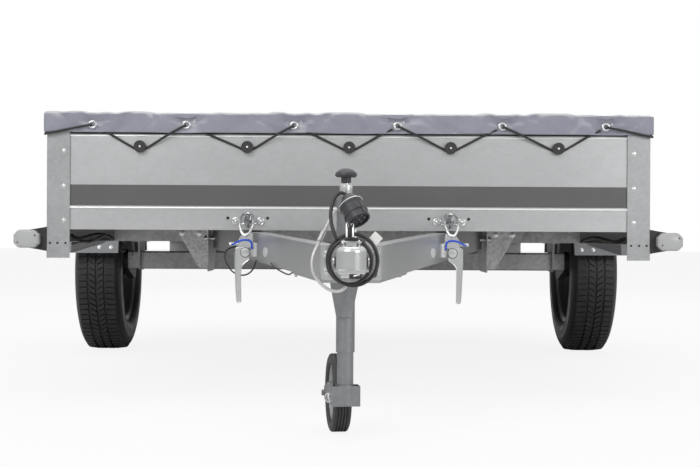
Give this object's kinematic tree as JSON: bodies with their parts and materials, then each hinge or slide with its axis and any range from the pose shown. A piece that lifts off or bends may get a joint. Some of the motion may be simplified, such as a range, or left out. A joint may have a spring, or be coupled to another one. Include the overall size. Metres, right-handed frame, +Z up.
{
  "type": "utility trailer",
  "caption": "Single-axle tipping box trailer with V drawbar, ball coupling, jockey wheel jack, drop tailgate and laced flat cover, standing on its jack.",
  "frame": {"origin": "on the ground, at the middle of the trailer's length and width", "axes": "+Z up, -Y towards the drawbar's coupling, +X to the right seen from the coupling"},
  "size_m": [1.888, 3.2553, 0.7075],
  "materials": {
    "galvanised_sheet": "bright galvanised sheet",
    "galvanised_tube": "hot-dip galvanised, mottled",
    "galvanised_casting": "hot-dip galvanised forging",
    "bright_zinc": "bright zinc plate",
    "rim_paint": "dark satin paint",
    "tyre_rubber": "matt black rubber",
    "solid_tyre": "matt black rubber",
    "black_plastic": "moulded",
    "cover_fabric": "coated tarpaulin",
    "rubber": "moulded rubber",
    "elastic_cord": "braided elastic cord",
    "lamp_lens": "clear over white",
    "tail_lens": "red lens",
    "plywood": "film-faced plywood",
    "cable_black": "black cable sheath",
    "plug_plastic": "moulded black plastic",
    "cable_clear": "white plastic sheath",
    "cord_blue": "blue cord"
  },
  "bodies": {
    "trailer": {"axle_beam": "galvanised_tube", "axle_brackets": "galvanised_tube", "catch_plates": "bright_zinc", "corner_posts_front": "galvanised_sheet", "corner_posts_rear": "galvanised_sheet", "cover": "cover_fabric", "cross_members": "galvanised_tube", "drawbar_hangers": "galvanised_tube", "floor_board": "plywood", "front_panel": "galvanised_sheet", "lacing_buttons": "rubber", "lacing_cord": "elastic_cord", "lamp_brackets": "galvanised_sheet", "latch_loops": "bright_zinc", "marker_lamps": "lamp_lens", "mudguard_left": "galvanised_sheet", "mudguard_right": "galvanised_sheet", "pivot_bolts": "bright_zinc", "rest_pads": "rubber", "side_panel_left": "galvanised_sheet", "side_panel_right": "galvanised_sheet", "side_rails": "galvanised_tube", "swing_arm_left": "galvanised_casting", "swing_arm_right": "galvanised_casting", "tail_lamps": "tail_lens", "tail_light_bar": "galvanised_sheet", "tailgate_hinges": "galvanised_casting"},
    "drawbar": {"breakaway_cable": "cable_clear", "cable_ferrule": "bright_zinc", "coupling_handle": "bright_zinc", "coupling_head": "bright_zinc", "drawbar_arm_left": "galvanised_tube", "drawbar_arm_right": "galvanised_tube", "drawbar_harness": "cable_black", "drawbar_nose_plate": "galvanised_tube", "jack_bracket": "galvanised_tube", "jack_crank": "black_plastic", "jack_outer_tube": "galvanised_tube", "lead_coil": "cable_black", "lead_plug": "plug_plastic", "lead_tail": "cable_black", "pin_cord_left": "cord_blue", "pin_cord_right": "cord_blue", "tipping_latch_left": "bright_zinc", "tipping_latch_right": "bright_zinc"},
    "tailgate": {"cover_rear_flap": "cover_fabric", "lacing_buttons_rear": "rubber", "lacing_cord_rear": "elastic_cord", "tailgate": "galvanised_sheet", "tailgate_latches": "bright_zinc"},
    "wheel_left": {"tyre_left": "tyre_rubber", "rim_left": "rim_paint", "hub_left": "galvanised_casting"},
    "wheel_right": {"tyre_right": "tyre_rubber", "rim_right": "rim_paint", "hub_right": "galvanised_casting"},
    "jack_leg": {"jack_inner_tube": "galvanised_tube"},
    "jack_fork": {"jockey_fork": "galvanised_tube"},
    "jockey_wheel": {"jockey_wheel": "solid_tyre"}
  },
  "joints": [
    {"name": "wheel_left_spin", "type": "hinge", "parent": "trailer", "child": "wheel_left", "pos_m": [-0.83, 0.64335, 0.2745], "axis": [1, 0, 0], "continuous": true},
    {"name": "wheel_right_spin", "type": "hinge", "parent": "trailer", "child": "wheel_right", "pos_m": [0.83, 0.64335, 0.2745], "axis": [1, 0, 0], "continuous": true},
    {"name": "box_tilt", "type": "hinge", "parent": "trailer", "child": "drawbar", "pos_m": [0, -0.19665, 0.39026], "axis": [1, 0, 0], "range_deg": [0, 34]},
    {"name": "tailgate_drop", "type": "hinge", "parent": "trailer", "child": "tailgate", "pos_m": [0, 1.59125, 0.405], "axis": [-1, 0, 0], "range_deg": [0, 115]},
    {"name": "jack_raise", "type": "slide", "parent": "drawbar", "child": "jack_leg", "axis": [0, 0, 1], "range_m": [-0.06, 0.055]},
    {"name": "jack_swivel", "type": "hinge", "parent": "jack_leg", "child": "jack_fork", "pos_m": [-0.01, -1.44665, 0.066], "axis": [0, 0, 1], "continuous": true},
    {"name": "jockey_wheel_spin", "type": "hinge", "parent": "jack_fork", "child": "jockey_wheel", "pos_m": [-0.02357, -1.34354, 0.08], "axis": [0.9914, 0.1305, 0], "continuous": true}
  ]
}
